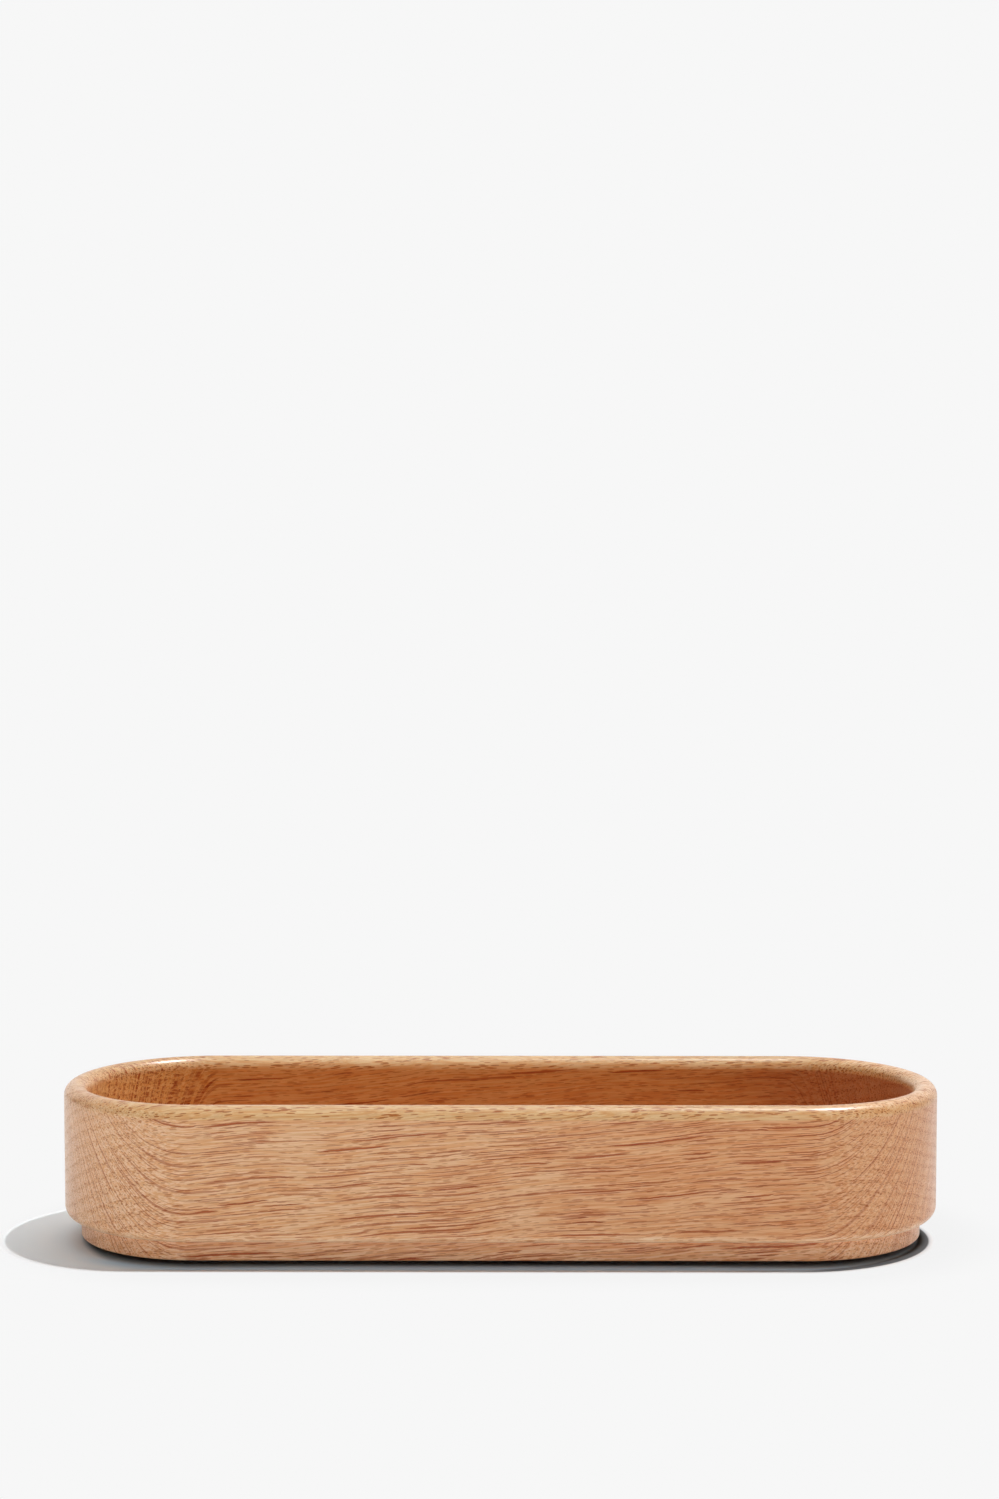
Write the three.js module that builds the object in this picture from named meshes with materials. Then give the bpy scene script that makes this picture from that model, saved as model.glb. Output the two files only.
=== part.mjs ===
// A long oak desk tray with round ends, hollowed and rounded from one block of wood.
// It stands on a stepped-in foot, and the foot stands on four low rubber pads.
// Millimetres, +Z up, +X along the length, origin on the table under the tray's middle.

import * as THREE from "three";

// Driving dimensions of the oak body
const TRAY_LENGTH = 240;
const TRAY_WIDTH = 78;
const BODY_HEIGHT = 42;
const WALL_THICKNESS = 6.5;
const FLOOR_THICKNESS = 9;
const FLOOR_FILLET_RADIUS = 3;
const LOWER_EDGE_RADIUS = 3.2;
const FOOT_INSET = 4.4;
const FOOT_HEIGHT = 5.4;
const FOOT_EDGE_RADIUS = 0.5;

// Driving dimensions of the four pads
const PAD_DIAMETER = 12;
const PAD_THICKNESS = 1.2;
const PAD_EDGE_RADIUS = 0.4;
const PAD_TO_FOOT_EDGE = 7;

// How finely round stretches are cut into flats
const OUTLINE_STEPS_PER_END = 32;
const SECTION_STEPS_PER_QUARTER = 6;
const PAD_STEPS = 40;

// Levels of the body above the table
const UNDERSIDE_LEVEL = PAD_THICKNESS;
const LEDGE_LEVEL = UNDERSIDE_LEVEL + FOOT_HEIGHT;
const POCKET_FLOOR_LEVEL = UNDERSIDE_LEVEL + FLOOR_THICKNESS;
const RIM_LEVEL = UNDERSIDE_LEVEL + BODY_HEIGHT;

// The round ends are half circles, so their radius is half of the width
const END_RADIUS = TRAY_WIDTH / 2;
const END_CENTRE_X = TRAY_LENGTH / 2 - END_RADIUS;

const QUARTER_TURN = Math.PI / 2;
const HALF_TURN = Math.PI;

const oak = new THREE.MeshStandardMaterial({ color: 0xc69a70, roughness: 0.45, metalness: 0 });

// A path's arcs come out of getPoints with twice as many steps as it is asked for
function pathPoints(path, stepsPerArc) {
  return path.getPoints(stepsPerArc / 2);
}

// The tray seen from above, drawn in by an inset from the outer wall, anticlockwise
function outlineAt(inset) {
  const radius = END_RADIUS - inset;
  const outline = new THREE.Path();
  outline.absarc(END_CENTRE_X, 0, radius, -QUARTER_TURN, QUARTER_TURN, false);
  outline.absarc(-END_CENTRE_X, 0, radius, QUARTER_TURN, 3 * QUARTER_TURN, false);
  return pathPoints(outline, OUTLINE_STEPS_PER_END);
}

// The wall cut through: x is the inset from the outer wall and y is the height.
// It runs from the underside up the foot, the ledge, the lower edge and the outer wall,
// over the full-round rim, and down the inner wall and the fillet to the pocket's floor.
function wallSection() {
  const footCorner = FOOT_INSET + FOOT_EDGE_RADIUS;
  const rimRadius = WALL_THICKNESS / 2;
  const rimCentreLevel = RIM_LEVEL - rimRadius;
  const filletCentre = WALL_THICKNESS + FLOOR_FILLET_RADIUS;
  const filletCentreLevel = POCKET_FLOOR_LEVEL + FLOOR_FILLET_RADIUS;

  const section = new THREE.Path();
  section.absarc(
    footCorner, UNDERSIDE_LEVEL + FOOT_EDGE_RADIUS, FOOT_EDGE_RADIUS,
    -QUARTER_TURN, -HALF_TURN, true,
  );
  section.lineTo(FOOT_INSET, LEDGE_LEVEL);
  section.absarc(
    LOWER_EDGE_RADIUS, LEDGE_LEVEL + LOWER_EDGE_RADIUS, LOWER_EDGE_RADIUS,
    -QUARTER_TURN, -HALF_TURN, true,
  );
  section.absarc(rimRadius, rimCentreLevel, rimRadius, HALF_TURN, QUARTER_TURN, true);
  section.absarc(rimRadius, rimCentreLevel, rimRadius, QUARTER_TURN, 0, true);
  section.absarc(
    filletCentre, filletCentreLevel, FLOOR_FILLET_RADIUS,
    HALF_TURN, 3 * QUARTER_TURN, false,
  );
  return pathPoints(section, SECTION_STEPS_PER_QUARTER);
}

// A closed solid skinned over one outline for each point of the section,
// with a flat cap over the first outline and another over the last
function loftOverSection(section) {
  const rings = section.map((point) => ({ level: point.y, outline: outlineAt(point.x) }));
  const ringSize = rings[0].outline.length;
  const positions = [];
  const triangles = [];

  for (const ring of rings) {
    for (const corner of ring.outline) {
      positions.push(corner.x, corner.y, ring.level);
    }
  }

  for (let ring = 0; ring < rings.length - 1; ring += 1) {
    const lower = ring * ringSize;
    const upper = lower + ringSize;
    for (let side = 0; side < ringSize; side += 1) {
      const next = (side + 1) % ringSize;
      triangles.push(lower + side, lower + next, upper + next);
      triangles.push(lower + side, upper + next, upper + side);
    }
  }

  const lastRing = (rings.length - 1) * ringSize;
  for (const [a, b, c] of THREE.ShapeUtils.triangulateShape(rings[0].outline, [])) {
    triangles.push(a, c, b);
  }
  for (const [a, b, c] of THREE.ShapeUtils.triangulateShape(rings.at(-1).outline, [])) {
    triangles.push(lastRing + a, lastRing + b, lastRing + c);
  }

  const geometry = new THREE.BufferGeometry();
  geometry.setAttribute("position", new THREE.Float32BufferAttribute(positions, 3));
  geometry.setIndex(triangles);
  geometry.computeVertexNormals();
  return geometry;
}

// The oak body: wall, rim, floor and foot are one piece of wood
function makeBody() {
  const body = new THREE.Mesh(loftOverSection(wallSection()), oak);
  body.name = "tray_body";
  return body;
}

// A pad is a low round disc with its lower edge rounded, turned about its own axis
function makePad(name) {
  const radius = PAD_DIAMETER / 2;
  const profile = new THREE.Path();
  profile.lineTo(radius - PAD_EDGE_RADIUS, 0);
  profile.absarc(
    radius - PAD_EDGE_RADIUS, PAD_EDGE_RADIUS, PAD_EDGE_RADIUS,
    -QUARTER_TURN, 0, false,
  );
  profile.lineTo(radius, PAD_THICKNESS);
  profile.lineTo(0, PAD_THICKNESS);
  const geometry = new THREE.LatheGeometry(profile.getPoints(2), PAD_STEPS);
  geometry.rotateX(QUARTER_TURN);

  const rubber = new THREE.MeshStandardMaterial({ color: 0x2b2a28, roughness: 0.85, metalness: 0 });
  const pad = new THREE.Mesh(geometry, rubber);
  pad.name = name;
  return pad;
}

const tray = new THREE.Group();
tray.add(makeBody());

// The pads sit under the ends of the straight sides, well back from the foot's edge
const padReach = END_RADIUS - FOOT_INSET - PAD_TO_FOOT_EDGE - PAD_DIAMETER / 2;
for (const [endName, end] of [["left", -1], ["right", 1]]) {
  for (const [sideName, side] of [["front", -1], ["back", 1]]) {
    const pad = makePad(`pad_${sideName}_${endName}`);
    pad.position.set(end * END_CENTRE_X, side * padReach, 0);
    tray.add(pad);
  }
}

export default tray;
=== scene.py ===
"""A long oak desk tray with round ends, standing on four slim rubber pads.

Metres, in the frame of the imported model: +X along the tray, +Y to the back, +Z up.
"""
import math

import bpy
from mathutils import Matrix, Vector


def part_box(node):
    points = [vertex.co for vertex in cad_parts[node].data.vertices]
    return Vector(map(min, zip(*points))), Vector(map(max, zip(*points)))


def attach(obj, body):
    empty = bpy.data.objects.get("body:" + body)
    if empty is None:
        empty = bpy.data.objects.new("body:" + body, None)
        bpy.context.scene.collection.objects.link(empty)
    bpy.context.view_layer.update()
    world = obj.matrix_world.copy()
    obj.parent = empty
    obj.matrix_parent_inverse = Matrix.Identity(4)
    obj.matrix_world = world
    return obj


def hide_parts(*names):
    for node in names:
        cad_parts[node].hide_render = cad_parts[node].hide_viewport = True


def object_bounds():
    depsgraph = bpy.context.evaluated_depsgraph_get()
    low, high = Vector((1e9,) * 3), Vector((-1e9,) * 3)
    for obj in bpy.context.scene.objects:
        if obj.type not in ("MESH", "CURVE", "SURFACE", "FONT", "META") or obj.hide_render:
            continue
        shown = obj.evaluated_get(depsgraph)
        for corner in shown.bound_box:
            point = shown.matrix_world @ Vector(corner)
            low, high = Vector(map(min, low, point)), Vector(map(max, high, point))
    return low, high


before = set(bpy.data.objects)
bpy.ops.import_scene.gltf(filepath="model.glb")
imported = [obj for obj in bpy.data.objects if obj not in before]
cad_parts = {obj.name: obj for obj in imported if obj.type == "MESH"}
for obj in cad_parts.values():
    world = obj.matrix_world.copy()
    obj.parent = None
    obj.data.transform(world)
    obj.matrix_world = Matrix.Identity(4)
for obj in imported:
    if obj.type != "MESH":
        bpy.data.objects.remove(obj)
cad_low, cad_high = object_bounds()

# The oak body
# One block of oak: an upright wall with half-round ends, a full-round rim and a deep pocket.
# It is milled all over and sanded smooth, with a narrow foot stepped in under the wall.
body_low, body_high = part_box("tray_body")
end_radius = (body_high.y - body_low.y) / 2
end_centre_x = body_high.x - end_radius
rim_level = body_high.z
underside_level = body_low.z
wall = 0.0065
floor_thickness = 0.009
floor_fillet = 0.003
lower_edge_radius = 0.0032
foot_inset = 0.0044
foot_height = 0.0054
foot_edge_radius = 0.0005
ledge_level = underside_level + foot_height
pocket_floor_level = underside_level + floor_thickness
round_end_sides = 192
steps_per_corner = 12

# How far apart two places, or two outlines, may lie and still count as the same
same_place = 1e-5
same_outline = 1e-4


def inset_from_wall(place):
    """How far a point lies inside the tray's outer wall, seen from above."""
    past_straight = max(abs(place.x) - end_centre_x, 0.0)
    return end_radius - math.hypot(past_straight, place.y)


def start_selection(kind):
    """Deselects everything and goes over to selecting one kind: FACE or EDGE."""
    bpy.ops.object.mode_set(mode="EDIT")
    bpy.ops.mesh.select_mode(type=kind)
    bpy.ops.mesh.select_all(action="DESELECT")
    bpy.ops.object.mode_set(mode="OBJECT")


def select_flat(piece, level, up):
    """Selects the faces that lie flat at a level and face up (1) or down (-1)."""
    start_selection("FACE")
    for face in piece.data.polygons:
        flat = face.normal.z * up > 0.99
        face.select = flat and abs(face.center.z - level) < same_place
    bpy.ops.object.mode_set(mode="EDIT")


def select_outline(piece, level, inset):
    """Selects the closed loop of edges that runs round the tray at a level and an inset."""
    start_selection("EDGE")
    corners = piece.data.vertices
    for edge in piece.data.edges:
        start = corners[edge.vertices[0]].co
        end = corners[edge.vertices[1]].co
        places = (start, end, (start + end) / 2)
        edge.select = all(
            abs(place.z - level) < same_place
            and abs(inset_from_wall(place) - inset) < same_outline
            for place in places
        )
    bpy.ops.object.mode_set(mode="EDIT")


def round_outline(piece, level, inset, radius):
    """Rounds the edge that runs round the tray at a level and an inset."""
    select_outline(piece, level, inset)
    bpy.ops.mesh.bevel(offset=radius, segments=steps_per_corner, affect="EDGES")


bpy.ops.object.select_all(action="DESELECT")
bpy.ops.mesh.primitive_cylinder_add(
    vertices=round_end_sides,
    radius=end_radius,
    depth=rim_level - ledge_level,
    location=(end_centre_x, 0, (rim_level + ledge_level) / 2),
)
body = bpy.context.object
body.name = "oak_body"
bpy.ops.object.transform_apply(location=True, rotation=True, scale=True)

# The right-hand half: a half cylinder drawn out along the straight sides to the middle
bpy.ops.object.mode_set(mode="EDIT")
bpy.ops.mesh.select_all(action="SELECT")
bpy.ops.mesh.bisect(
    plane_co=(end_centre_x, 0, 0), plane_no=(1, 0, 0), use_fill=True, clear_inner=True
)
bpy.ops.mesh.extrude_region_move(TRANSFORM_OT_translate={"value": (-end_centre_x, 0, 0)})
bpy.ops.mesh.delete(type="FACE")
bpy.ops.object.mode_set(mode="OBJECT")
bpy.ops.object.modifier_add(type="MIRROR")
body.modifiers[-1].merge_threshold = same_place
bpy.ops.object.modifier_apply(modifier=body.modifiers[-1].name)

# The pocket is sunk into the top, and the foot drawn out of the bottom
select_flat(body, rim_level, 1)
bpy.ops.mesh.inset(thickness=wall)
bpy.ops.mesh.extrude_region_move(
    TRANSFORM_OT_translate={"value": (0, 0, pocket_floor_level - rim_level)}
)
select_flat(body, ledge_level, -1)
bpy.ops.mesh.inset(thickness=foot_inset)
bpy.ops.mesh.extrude_region_move(TRANSFORM_OT_translate={"value": (0, 0, -foot_height)})

# Every edge that a hand meets is rounded, and the rim to a full half round, whose two quarters
# stop just short of meeting
rim_round = 0.4995 * wall
round_outline(body, ledge_level, 0, lower_edge_radius)
round_outline(body, underside_level, foot_inset, foot_edge_radius)
round_outline(body, pocket_floor_level, wall, floor_fillet)
round_outline(body, rim_level, 0, rim_round)
round_outline(body, rim_level, wall, rim_round)
bpy.ops.object.mode_set(mode="OBJECT")
bpy.ops.object.shade_smooth_by_angle(angle=math.radians(40))
bpy.ops.object.modifier_add(type="WEIGHTED_NORMAL")
body.modifiers[-1].keep_sharp = True
bpy.ops.object.modifier_apply(modifier=body.modifiers[-1].name)


class Pattern:
    """A number for each point of a surface, worked out by the nodes of its material.

    Patterns are added, multiplied and so on as plain numbers are.
    """

    def __init__(self, socket):
        self.socket = socket

    def __add__(self, other):
        return calculate("ADD", self, other)

    __radd__ = __add__

    def __sub__(self, other):
        return calculate("SUBTRACT", self, other)

    def __rsub__(self, other):
        return calculate("SUBTRACT", other, self)

    def __mul__(self, other):
        return calculate("MULTIPLY", self, other)

    __rmul__ = __mul__

    def __truediv__(self, other):
        return calculate("DIVIDE", self, other)

    def __pow__(self, other):
        return calculate("POWER", self, other)

    def __abs__(self):
        return calculate("ABSOLUTE", self)


def feed(socket, value):
    """Sets a node's input, or links it to a pattern or to another node's output."""
    if isinstance(value, Pattern):
        value = value.socket
    if isinstance(value, bpy.types.NodeSocket):
        socket.id_data.links.new(value, socket)
    else:
        socket.default_value = value


def add_node(tree, kind, **values):
    """Adds a node to a material and fills the inputs that are named."""
    node = tree.nodes.new(kind)
    for name, value in values.items():
        feed(node.inputs[name], value)
    return node


def calculate(operation, *values):
    """One step of arithmetic on patterns and plain numbers, of which one at least is a pattern."""
    tree = next(value.socket.id_data for value in values if isinstance(value, Pattern))
    node = tree.nodes.new("ShaderNodeMath")
    node.operation = operation
    for socket, value in zip(node.inputs, values):
        feed(socket, value)
    return Pattern(node.outputs["Value"])


def larger(first, second):
    """The larger of two numbers, point by point."""
    return calculate("MAXIMUM", first, second)


def distance(first, second):
    """How far away a point is that lies so far along one axis and so far along another."""
    return calculate("SQRT", first * first + second * second)


def fade(pattern, start, end, low=0.0, high=1.0):
    """Goes smoothly from low to high while a pattern goes from start to end."""
    node = pattern.socket.id_data.nodes.new("ShaderNodeMapRange")
    node.interpolation_type = "SMOOTHSTEP"
    for socket, number in zip(node.inputs, (pattern, start, end, low, high)):
        feed(socket, number)
    return Pattern(node.outputs["Result"])


def blend(first, second, amount, kind="MIX"):
    """Covers one colour with another, by a pattern from 0 to 1."""
    node = amount.socket.id_data.nodes.new("ShaderNodeMix")
    node.data_type = "RGBA"
    node.blend_type = kind
    feed(node.inputs["Factor"], amount)
    feed(node.inputs["A"], first)
    feed(node.inputs["B"], second)
    return node.outputs["Result"]


def stain(colour, tint, amount):
    """Darkens a colour with a tint, by a pattern from 0 to 1."""
    return blend(colour, tint, amount, "MULTIPLY")


def smooth_noise(tree, place, scale, detail, roughness):
    """Smooth noise from 0 to 1, finer where the scale is larger."""
    noise = add_node(
        tree, "ShaderNodeTexNoise", Vector=place, Scale=scale, Detail=detail, Roughness=roughness
    )
    return Pattern(noise.outputs["Fac"])


# The grain is worked out in millimetres round the heart of the trunk, which ran above and behind
# the tray, nearly level. Each point has a place along the trunk, round it and out from it.
heart_y = 52
heart_z = 214
grain_rise = 0.07
wave_length = 75
wave_height = 3.4
ripple_length = 24
ripple_height = 0.7
trunk_radius = 200

oak = bpy.data.materials.new("oak")
oak.use_nodes = True
oak_tree = oak.node_tree
oak_shader = oak_tree.nodes["Principled BSDF"]
oak_place = add_node(oak_tree, "ShaderNodeTexCoord").outputs["Object"]
oak_axes = add_node(oak_tree, "ShaderNodeSeparateXYZ", Vector=oak_place)
along, depth, height = [Pattern(oak_axes.outputs[axis]) * 1000 for axis in "XYZ"]


def noise_at(first, second, third, detail=2.0, roughness=0.5):
    """Smooth noise from 0 to 1. Each number is a place over the length of one patch that way."""
    spot = add_node(oak_tree, "ShaderNodeCombineXYZ", X=first, Y=second, Z=third)
    return smooth_noise(oak_tree, spot.outputs["Vector"], 1.0, detail, roughness)


# The grain rises towards the right, and it waves and ripples on its way
wave = noise_at(along / wave_length, depth / wave_length, height / 40, 1.5)
ripple = noise_at(along / ripple_length, depth / 15, height / 9, 1.0)
swing = grain_rise * along + 2 * wave_height * wave + 2 * ripple_height * ripple
below_heart = heart_z - (height - swing)
before_heart = heart_y - depth
around = calculate("ARCTAN2", before_heart, below_heart) * trunk_radius
outward = distance(below_heart, before_heart)

# Where on the tray a point is: how far out from its middle line, in the pocket, or on the ends.
# Places along the tray are counted from its middle, and heights from the table.
end_centre = end_centre_x * 1000
outer_wall = end_radius * 1000
rim_top = rim_level * 1000
pocket_floor = pocket_floor_level * 1000
ledge = ledge_level * 1000
past_straight = larger(abs(along) - end_centre, 0)
from_middle = distance(past_straight, depth)
inside_wall = fade(from_middle, outer_wall - 3, outer_wall - 5.5)
in_pocket = inside_wall * fade(height, pocket_floor - 2.7, pocket_floor - 1.2)
straight = fade(abs(along), end_centre + 17, end_centre - 3)
on_ends = 1 - straight
behind = straight * fade(depth, 5, 30)
pocket_left = in_pocket * fade(along, -74, -96)

# The rim, where the grain turns over from the outside into the pocket
outer_half = fade(from_middle, outer_wall - 5, outer_wall - 3)
outer_rim = fade(height, rim_top - 3.9, rim_top - 2.5) * outer_half
inner_rim = fade(height, rim_top - 3.7, rim_top - 3.1)
on_rim = larger(outer_rim, inner_rim)

# Along the back the cut runs nearly along the rays, so they show thin there, and in the
# pocket's left end it lays them open at their thickest
ray_width = 1 - 0.62 * behind + 1.8 * pocket_left
wobble = noise_at(along / 20, around / 3, outward / 30)
quiver = noise_at(along / 3.5, around / 1.2, outward / 9, 3.0, 0.6)
sway = (wobble + 0.4 * quiver) * (0.5 - 0.4 * behind)


def rays(length, spacing, thickness, shift):
    """Thin dark leaves of wood that stand out from the heart, each a lens along the trunk."""
    cell_along = along / length + outward / 90 + shift
    cell_around = (around + sway) / spacing + shift
    spot = add_node(oak_tree, "ShaderNodeCombineXYZ", X=cell_along, Y=cell_around)
    cells = add_node(
        oak_tree, "ShaderNodeTexVoronoi", Vector=spot.outputs["Vector"], Scale=1.0, Randomness=0.9
    )
    cells.voronoi_dimensions = "2D"
    middle = add_node(oak_tree, "ShaderNodeSeparateXYZ", Vector=cells.outputs["Position"])
    chance = add_node(oak_tree, "ShaderNodeSeparateColor", Color=cells.outputs["Color"])
    reach = 0.22 + 0.3 * Pattern(chance.outputs["Red"])
    half_width = 0.25 + 0.5 * Pattern(chance.outputs["Green"])
    half_width = half_width * (thickness / spacing) * ray_width
    strength = 0.55 + 0.45 * Pattern(chance.outputs["Blue"])
    ahead = abs((cell_along - Pattern(middle.outputs["X"])) / reach)
    aside = abs((cell_around - Pattern(middle.outputs["Y"])) / half_width)
    inside = 1 - ahead ** 4 - aside
    return fade(inside, 0, 0.15) * strength


# Long rays are everywhere, and short ones crowd in places. On the ends, cut square across the
# grain, more of them stand close together.
long_rays = rays(36, 0.95, 0.175, 0.0)
crowding = noise_at(along / 30, around / 5, outward / 20, 1.0)
short_rays = rays(14, 0.5, 0.12, 7.3) * fade(crowding, 0.35, 0.6, 0.4, 1)
end_rays = 0.6 * on_ends * rays(50, 0.8, 0.12, 3.7)
ray_mask = larger(larger(long_rays, short_rays), end_rays)

# In the pocket's left end each ray breaks into dashes. The rays are faint in its right end, and
# a little fainter on the outside of the ends.
dashes = noise_at(along / 9, around / 1.5, outward / 0.7, 1.0)
broken = pocket_left * fade(dashes, 0.46, 0.54, 0, 0.9)
pocket_right = in_pocket * fade(along, 62, 82, 0, 0.6)
outside_end = on_ends * (1 - in_pocket)
ray_mask = ray_mask * (1 - larger(broken, pocket_right)) * (1 - 0.22 * outside_end)

# Along the rim's front edge, and on all of the rim behind, the rays are cut lengthwise, and
# sanding leaves little of them
outer_edge = on_rim * fade(from_middle, outer_wall - 4.5, outer_wall - 3)
front_edge = outer_edge * fade(depth, -25, -31, 0, 0.85)
ray_mask = ray_mask * (1 - larger(front_edge, behind * on_rim))

# Yearly rings about 3 mm apart, with the pores crowded in the early wood of each
ring_wobble = noise_at(along / 45, around / 30, outward / 60)
ring_phase = calculate("FRACT", 1.6 * ring_wobble + outward / 3.1)
early_wood = fade(ring_phase, 0.0, 0.12) * fade(ring_phase, 0.65, 0.2)
pore_spot = add_node(
    oak_tree, "ShaderNodeCombineXYZ", X=along / 4, Y=around / 0.5, Z=outward / 0.55
)
pore_cells = add_node(
    oak_tree, "ShaderNodeTexVoronoi", Vector=pore_spot.outputs["Vector"], Scale=1.0, Randomness=1.0
)
past_pore = Pattern(pore_cells.outputs["Distance"]) - (0.24 + 0.1 * early_wood)
pore_mask = fade(past_pore, 0.07, 0.0) * larger(0.6 + 0.15 * on_ends, on_rim)

# Silky fibres along the grain, and slow changes of tone
fibre = noise_at(along / 7, around / 0.2, outward / 0.25, 2.0, 0.6)
stripe = noise_at(along / 16, around / 0.36, outward / 0.6, 3.0, 0.7)
patch = 0.275 + 0.45 * noise_at(along / 38, around / 9, outward / 9) + 0.0026 * along

# The wood's own colours: pale to warm along the front, paler on the ends, honey on the rim
pale_oak = (0.92, 0.59, 0.342, 1)
warm_oak = (0.835, 0.455, 0.228, 1)
end_oak = (0.97, 0.68, 0.445, 1)
honey_oak = (0.885, 0.61, 0.32, 1)
honey = on_rim * fade(along, 60, 110, 0.85, 0.5) * fade(along, -113, -92, 0.3, 1)
colour = blend(pale_oak, warm_oak, fade(patch, 0.35, 0.7))
colour = blend(colour, end_oak, on_ends * fade(along, -40, 90, 0.75, 0.28))
colour = blend(colour, honey_oak, honey)

# The pocket is amber, golden in its left end. Its slope under the rim is painted paler as light.
# Its lower part and its right end, away from the light, are painted darker as shade, and the
# amber fades out towards the right end.
painted_light_slope_oak = (1.0, 0.72, 0.40, 1)
amber_oak = (0.97, 0.61, 0.26, 1)
gold_oak = (1.0, 0.72, 0.31, 1)
pocket_shade_tint = (0.88, 0.80, 0.78, 1)
painted_slope_light = in_pocket * fade(height, rim_top - 3.6, rim_top - 3)
below_slope = 1 - painted_slope_light
painted_pocket_shade = larger(fade(along, 40, 95), fade(height, rim_top - 5.7, rim_top - 13.2, 0, 0.55))
colour = blend(colour, painted_light_slope_oak, painted_slope_light)
colour = blend(colour, amber_oak, in_pocket * fade(along, 60, 105, 0.65, 0) * below_slope)
colour = blend(colour, gold_oak, 0.7 * pocket_left * below_slope)
colour = stain(colour, pocket_shade_tint, in_pocket * painted_pocket_shade * below_slope)

# The top of the rim's crest is painted a little darker as shade, most of all at the back towards
# the right, and its right end paler as a painted sheen
crest_shade_tint = (0.77, 0.755, 0.68, 1)
painted_light_oak = (1.0, 0.76, 0.52, 1)
far_right = behind * fade(along, 10, 70)
painted_crest_shade = (0.6 + 0.4 * far_right) * fade(along, 78, 100, 1, 0)
painted_crest_shade = painted_crest_shade * fade(height, rim_top - 1.6, rim_top - 0.4)
painted_end_sheen = fade(height, rim_top - 2, rim_top - 0.6) * fade(along, 90, 112, 0, 0.5)
colour = stain(colour, crest_shade_tint, painted_crest_shade)
colour = blend(colour, painted_light_oak, painted_end_sheen)

# The lower edge is painted pale as light from below, and the foot paler as painted light. In the
# corner under the ledge the foot's top is painted darker as shade.
painted_light_foot_oak = (1.0, 0.68, 0.44, 1)
corner_shade_tint = (0.84, 0.70, 0.60, 1)
above_ledge = fade(height, ledge - 0.1, ledge + 0.05)
painted_lip_light = above_ledge * fade(height, ledge + 2.8, ledge + 1.2, 0, 0.95)
on_foot = 1 - above_ledge
painted_corner_shade = on_foot * fade(height, ledge - 2.3, ledge - 1.4, 0, 0.5) * (1 - 0.8 * on_ends)
colour = blend(colour, painted_light_oak, painted_lip_light)
colour = blend(colour, painted_light_foot_oak, on_foot * (0.55 + 0.35 * on_ends))
colour = stain(colour, corner_shade_tint, painted_corner_shade)

# Stripes, fibres, rings, pores and rays each darken the wood under them
stripe_tint = (0.90, 0.72, 0.56, 1)
fibre_tint = (0.90, 0.82, 0.74, 1)
early_tint = (0.95, 0.90, 0.84, 1)
pore_tint = (0.62, 0.36, 0.21, 1)
ray_tint = (0.53, 0.195, 0.075, 1)
colour = stain(colour, stripe_tint, fade(stripe, 0.45, 0.57))
colour = stain(colour, fibre_tint, fade(fibre, 0.48, 0.58))
colour = stain(colour, early_tint, early_wood * (0.25 + 0.75 * on_ends))
colour = stain(colour, pore_tint, pore_mask)
colour = stain(colour, ray_tint, ray_mask)
feed(oak_shader.inputs["Base Color"], colour)

# A thin satin finish over fine relief: the pores and the rays lie a little below the surface
oak_shader.inputs["Specular IOR Level"].default_value = 0.15
oak_shader.inputs["Coat Weight"].default_value = 0.55
oak_shader.inputs["Coat Roughness"].default_value = 0.27
oak_shader.inputs["Sheen Weight"].default_value = 0.1
oak_shader.inputs["Sheen Roughness"].default_value = 0.4
oak_shader.inputs["Sheen Tint"].default_value = (1.0, 0.96, 0.92, 1)
feed(oak_shader.inputs["Roughness"], 0.34 + 0.14 * fibre + 0.2 * pore_mask)
relief = -0.8 * pore_mask - 0.4 * ray_mask
bump = add_node(oak_tree, "ShaderNodeBump", Strength=0.5, Distance=0.00006, Height=relief)
feed(oak_shader.inputs["Normal"], bump.outputs["Normal"])
body.data.materials.clear()
body.data.materials.append(oak)
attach(body, "root")
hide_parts("tray_body")

# The pads
# Four low discs of black rubber, stuck on under the foot out of sight.
# Each has its lower edge rounded, so that it doesn't catch when the tray is pushed along.
pad_edge_radius = 0.0004
clean_rubber = (0.016, 0.016, 0.017, 1)
bloomed_rubber = (0.034, 0.033, 0.032, 1)

# The rubber has a patchy grey bloom and a fine grit
rubber = bpy.data.materials.new("pad_rubber")
rubber.use_nodes = True
rubber_tree = rubber.node_tree
rubber_shader = rubber_tree.nodes["Principled BSDF"]
rubber_place = add_node(rubber_tree, "ShaderNodeTexCoord").outputs["Object"]
bloom = smooth_noise(rubber_tree, rubber_place, 260, 3, 0.6)
grit = smooth_noise(rubber_tree, rubber_place, 3200, 1, 0.5)
rubber_colour = blend(clean_rubber, bloomed_rubber, fade(bloom, 0.4, 0.7))
feed(rubber_shader.inputs["Base Color"], rubber_colour)
feed(rubber_shader.inputs["Roughness"], fade(bloom, 0.35, 0.7, 0.72, 0.88))
rubber_shader.inputs["Specular IOR Level"].default_value = 0.4
rubber_bump = add_node(rubber_tree, "ShaderNodeBump", Strength=0.4, Distance=0.00005, Height=grit)
feed(rubber_shader.inputs["Normal"], rubber_bump.outputs["Normal"])

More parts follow.
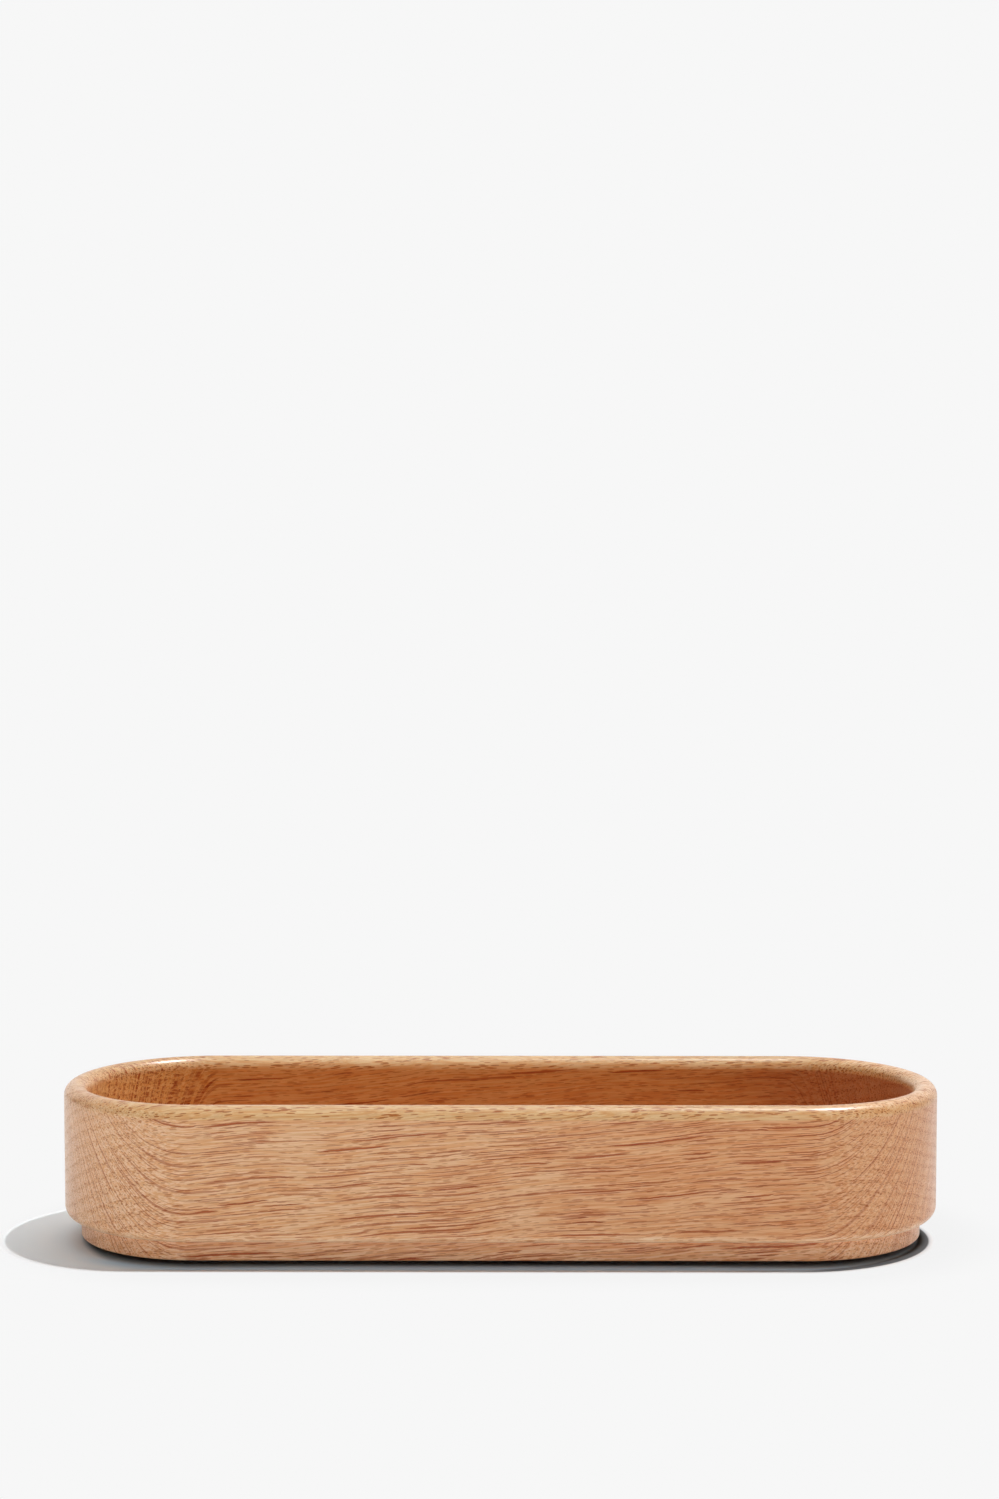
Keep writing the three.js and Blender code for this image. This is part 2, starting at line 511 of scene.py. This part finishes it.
for pad_node in ("pad_front_left", "pad_back_left", "pad_front_right", "pad_back_right"):
    pad_low, pad_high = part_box(pad_node)
    pad_centre = (pad_low + pad_high) / 2
    bpy.ops.object.select_all(action="DESELECT")
    bpy.ops.mesh.primitive_cylinder_add(
        vertices=96,
        radius=(pad_high.x - pad_low.x) / 2,
        depth=pad_high.z - pad_low.z,
        location=pad_centre,
    )
    pad = bpy.context.object
    pad.name = "rubber_" + pad_node
    bpy.ops.object.transform_apply(location=True, rotation=True, scale=True)
    start_selection("EDGE")
    for edge in pad.data.edges:
        ends = [pad.data.vertices[corner].co.z for corner in edge.vertices]
        edge.select = max(ends) < pad_low.z + same_place
    bpy.ops.object.mode_set(mode="EDIT")
    bpy.ops.mesh.bevel(offset=pad_edge_radius, segments=5, affect="EDGES")
    bpy.ops.object.mode_set(mode="OBJECT")
    bpy.ops.object.shade_smooth_by_angle(angle=math.radians(40))
    pad.data.materials.clear()
    pad.data.materials.append(rubber)
    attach(pad, "root")
    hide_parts(pad_node)

# The stage
# A wide floor of plain pale paint under the tray, and an even pale backdrop behind it.
# The floor that the camera sees has painted shade on it: the tray's shadow is painted cooler,
# so that the wood doesn't tinge it brown, and dark shade is painted under and beside the foot.
shadow_throw = 0.017
shade_short = 0.005
shade_nearer = 0.0007
contact_short = 0.0021
contact_nearer = 0.0021
lit_floor = (0.82, 0.835, 0.85, 1)
shaded_floor = (0.92, 0.975, 1.0, 1)
painted_strip_shade_floor = (0.54, 0.77, 0.88, 1)
painted_under_foot_shade_floor = (0.29, 0.42, 0.52, 1)
painted_crescent_floor = (0.14, 0.154, 0.166, 1)
painted_dark_crescent_floor = (0.03, 0.029, 0.028, 1)
plain_floor = (0.9, 0.9, 0.9, 1)
bpy.ops.object.select_all(action="DESELECT")
bpy.ops.mesh.primitive_plane_add(size=8, location=(0, 0, 0))
floor = bpy.context.object
floor.name = "floor"
floor_paint = bpy.data.materials.new("floor_paint")
floor_paint.use_nodes = True
floor_tree = floor_paint.node_tree
floor_shader = floor_tree.nodes["Principled BSDF"]
floor_shader.inputs["Roughness"].default_value = 0.9
floor_shader.inputs["Specular IOR Level"].default_value = 0.0
floor_sight = Pattern(add_node(floor_tree, "ShaderNodeLightPath").outputs["Is Camera Ray"])
floor_place = add_node(floor_tree, "ShaderNodeTexCoord").outputs["Object"]
floor_axes = add_node(floor_tree, "ShaderNodeSeparateXYZ", Vector=floor_place)
floor_x = Pattern(floor_axes.outputs["X"])
floor_y = Pattern(floor_axes.outputs["Y"])


def from_line(left, right, nearer=0.0):
    """How far a point of the floor is from a line along X, set so much nearer to the camera."""
    past_ends = larger(larger(floor_x - right, left - floor_x), 0)
    return distance(past_ends, floor_y + nearer)


# The tray's shadow reaches far out to the left, stops short of the tray's right end, and shows
# in front as a narrow strip
shadow_left = -end_centre_x - shadow_throw
from_tray = from_line(-end_centre_x, end_centre_x)
from_shade = from_line(shadow_left, end_centre_x - shade_short, shade_nearer)
from_contact = from_line(shadow_left, end_centre_x - contact_short, contact_nearer)
foot_reach = end_radius - foot_inset
# Inside the shadow's outline the floor is painted a paler, cooler colour than in the light: a
# painted tone of the shadow
in_shade = fade(from_shade, end_radius + 0.001, end_radius - 0.001)
floor_seen = blend(lit_floor, shaded_floor, in_shade)

# The wood's warm light falls on the strip by the foot, so the floor there is painted cooler and
# darker as shade, most of all in front
by_foot = fade(from_tray, foot_reach + 0.010, foot_reach + 0.003) * in_shade
by_foot = by_foot * fade(floor_y, -0.024, -0.034, 0.2, 1)
floor_seen = blend(floor_seen, painted_strip_shade_floor, by_foot)

# Hardly any light gets under the foot, and a dark shade is painted on the floor there. It is a
# little wider to both sides of the middle, but not past the foot's left end
wider = fade(abs(floor_x), 0.04, 0.08, 0, 0.0012)
past_left = fade(floor_x, -0.104, -0.116, 0, 0.0036)
painted_under_foot_shade = from_tray - wider + past_left
painted_under_foot_shade = fade(painted_under_foot_shade, foot_reach + 0.0031, foot_reach - 0.0010)
floor_seen = blend(floor_seen, painted_under_foot_shade_floor, painted_under_foot_shade)

# At the right a painted shadow, a dark crescent, lies on the floor beside the foot
in_contact = fade(from_contact, end_radius + 0.0002, end_radius - 0.0004)
out_of_shade = fade(from_shade, end_radius - 0.0012, end_radius + 0.0004)
beside_foot = in_contact * out_of_shade * fade(floor_x, 0.05, 0.09)
from_foot = fade(from_tray, foot_reach - 0.0004, foot_reach + 0.0026)
painted_crescent = blend(painted_dark_crescent_floor, painted_crescent_floor, from_foot)
floor_seen = blend(floor_seen, painted_crescent, beside_foot)
feed(floor_shader.inputs["Base Color"], blend(plain_floor, floor_seen, floor_sight))

# A trace of cool glow from the floor, which is painted light, makes up for the rest of the warm
# light in the strip
painted_strip_light = 0.07 * by_foot * (1 - painted_under_foot_shade) * floor_sight
floor_shader.inputs["Emission Color"].default_value = (0.45, 0.6, 1.0, 1)
feed(floor_shader.inputs["Emission Strength"], painted_strip_light)

# Out of the shadow's reach the floor is as even as the backdrop, but near the tray this even
# white is painted a little darker as shade
out_of_reach = fade(from_contact, end_radius - 0.0002, end_radius + 0.0014) * floor_sight
white_with_painted_shade = fade(from_tray, end_radius, end_radius + 0.025, 0.89, 0.93)
even_white = add_node(floor_tree, "ShaderNodeEmission", Color=white_with_painted_shade, Strength=1)
floor_mix = add_node(floor_tree, "ShaderNodeMixShader", Fac=out_of_reach)
feed(floor_mix.inputs[1], floor_shader.outputs["BSDF"])
feed(floor_mix.inputs[2], even_white.outputs["Emission"])
feed(floor_tree.nodes["Material Output"].inputs["Surface"], floor_mix.outputs["Shader"])
floor.data.materials.append(floor_paint)

# The light
# A small bright lamp high on the right, soft light from above and behind, and a low lamp in
# front. All of it comes from far away, so the floor is lit evenly.


def far_lamp(name, strength, width_in_degrees, towards):
    """A lamp so far away that its light is parallel, soft where it looks wide."""
    data = bpy.data.lights.new(name, "SUN")
    data.energy = strength
    data.angle = math.radians(width_in_degrees)
    lamp = bpy.data.objects.new(name, data)
    bpy.context.scene.collection.objects.link(lamp)
    lamp.rotation_euler = Vector(towards).to_track_quat("Z", "Y").to_euler()
    return lamp


key = far_lamp("key", 1.5, 1.2, (0.373, 0.047, 0.927))
far_lamp("overhead", 0.82, 90, (0, 0, 1))
far_lamp("backdrop_glow", 2.0, 105, (0.05, 0.82, 0.57))
low_front = far_lamp("low_front", 0.81, 5, (-0.25, -0.966, 0.025))
low_front.visible_glossy = False

# In the gloss the key lamp shows as a broad soft pane and not as its own small disc
key.visible_glossy = False
pane = far_lamp("pane", 4.4, 14, (0.27, 0.10, 0.957))
pane.visible_diffuse = False

world = bpy.data.worlds.new("studio")
bpy.context.scene.world = world
world.use_nodes = True
backdrop = world.node_tree.nodes["Background"]
backdrop.inputs["Color"].default_value = (0.93, 0.93, 0.93, 1)
sight = world.node_tree.nodes.new("ShaderNodeLightPath")
world.node_tree.links.new(sight.outputs["Is Camera Ray"], backdrop.inputs["Strength"])

# The camera
# It looks from the front and a little above, as in the photograph, which is 999 by 1499.
# Its distance, tilt and lens give the tray the perspective and the place that it has there.
view_distance = 0.7872
view_elevation = math.radians(12.434)
view_azimuth = math.radians(0.3)
downward_tilt = math.radians(4.214)
sideways_trim = -0.00024
camera_data = bpy.data.cameras.new("camera")
camera_data.lens = 67.7
camera_data.sensor_width = 36
camera_data.clip_start = 0.01
camera_data.clip_end = 50
camera = bpy.data.objects.new("camera", camera_data)
bpy.context.scene.collection.objects.link(camera)
bpy.context.scene.camera = camera
tray_middle = (cad_low + cad_high) / 2
camera.location = tray_middle + Vector(
    (
        view_distance * math.cos(view_elevation) * math.sin(view_azimuth) + sideways_trim,
        -view_distance * math.cos(view_elevation) * math.cos(view_azimuth),
        view_distance * math.sin(view_elevation),
    )
)
camera.rotation_euler = (math.pi / 2 - downward_tilt, 0, view_azimuth)
bpy.context.scene.view_settings.view_transform = "Standard"
